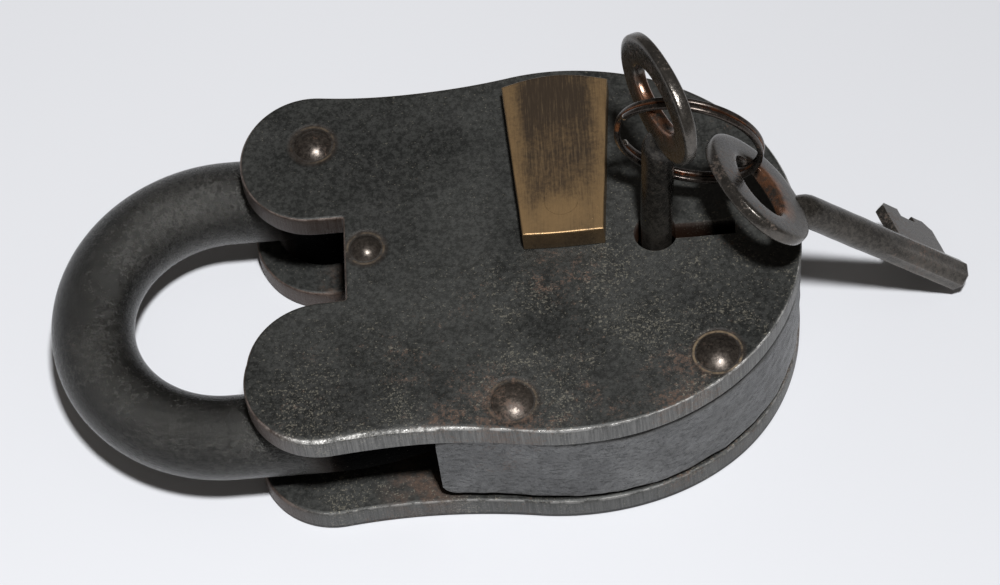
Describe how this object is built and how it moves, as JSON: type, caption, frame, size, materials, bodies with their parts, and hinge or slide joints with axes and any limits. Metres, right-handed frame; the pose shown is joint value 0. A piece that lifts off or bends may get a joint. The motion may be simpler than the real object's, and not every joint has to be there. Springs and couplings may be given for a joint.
{
  "type": "padlock",
  "caption": "Heavy rusted iron lever padlock with a round-ended case, a swinging brass keyhole cover, and keys on a split ring.",
  "frame": {"origin": "on the outer face of the back plate, straight below the keyhole's round part in X, and on the case's centre line in Y", "axes": "+Z out of the front plate, away from the surface the lock lies on; +X from the shackle to the round end of the case; +Y across the case to the side of the shackle's pivot, as a right-handed set"},
  "size_m": [0.2092, 0.0966, 0.095],
  "materials": {
    "plate_iron": "blackened gunmetal with fine pale specks and brown rust freckles",
    "band_iron": "bare hammered grey iron",
    "shackle_iron": "finely pebbled black iron with brown stains",
    "rivet_iron": "brown worn rivet iron",
    "cover_brass": "dark brown patina, brushed, bright at the edges",
    "work_steel": "plain filed steel",
    "spring_steel": "blued spring steel",
    "work_brass": "plain brass sheet",
    "key_iron": "dark grey iron with coppery rust in the hollows",
    "ring_steel": "dark steel wire with coppery rust between the turns"
  },
  "bodies": {
    "body": {"front_plate": "plate_iron", "back_plate": "plate_iron", "rim_band": "band_iron", "shackle_rivet": "rivet_iron", "notch_rivet": "rivet_iron", "notch_sleeve": "rivet_iron", "near_rivets": "rivet_iron", "far_rivets": "plate_iron", "cover_rivet": "cover_brass", "bolt_posts": "work_steel", "post_collars": "work_steel", "bolt_spring": "spring_steel", "ward_plate": "work_brass", "key_socket": "work_steel", "second_key": "key_iron", "split_ring": "ring_steel"},
    "shackle": {"shackle": "shackle_iron"},
    "cover": {"keyhole_cover": "cover_brass"},
    "key": {"standing_key": "key_iron"},
    "bolt": {"bolt": "work_steel"}
  },
  "joints": [
    {"name": "shackle_swing", "type": "hinge", "parent": "body", "child": "shackle", "pos_m": [-0.0764, 0.033, 0.0187], "axis": [0, 0, 1], "range_deg": [-100, 0]},
    {"name": "cover_swing", "type": "hinge", "parent": "body", "child": "cover", "pos_m": [-0.0204, 0.0083, 0.0404], "axis": [0, 0, 1], "range_deg": [-60, 205]},
    {"name": "key_turn", "type": "hinge", "parent": "body", "child": "key", "pos_m": [0, 0.00156, 0.0342], "axis": [0.0735, 0.1058, 0.9917], "range_deg": [-90, 0]},
    {"name": "bolt_slide", "type": "slide", "parent": "body", "child": "bolt", "axis": [1, 0, 0], "range_m": [-0.01201, 0.0001]}
  ],
  "couplings": [
    {"joint": "bolt_slide", "follows": "key_turn", "m_per_rad": 0.00764}
  ]
}
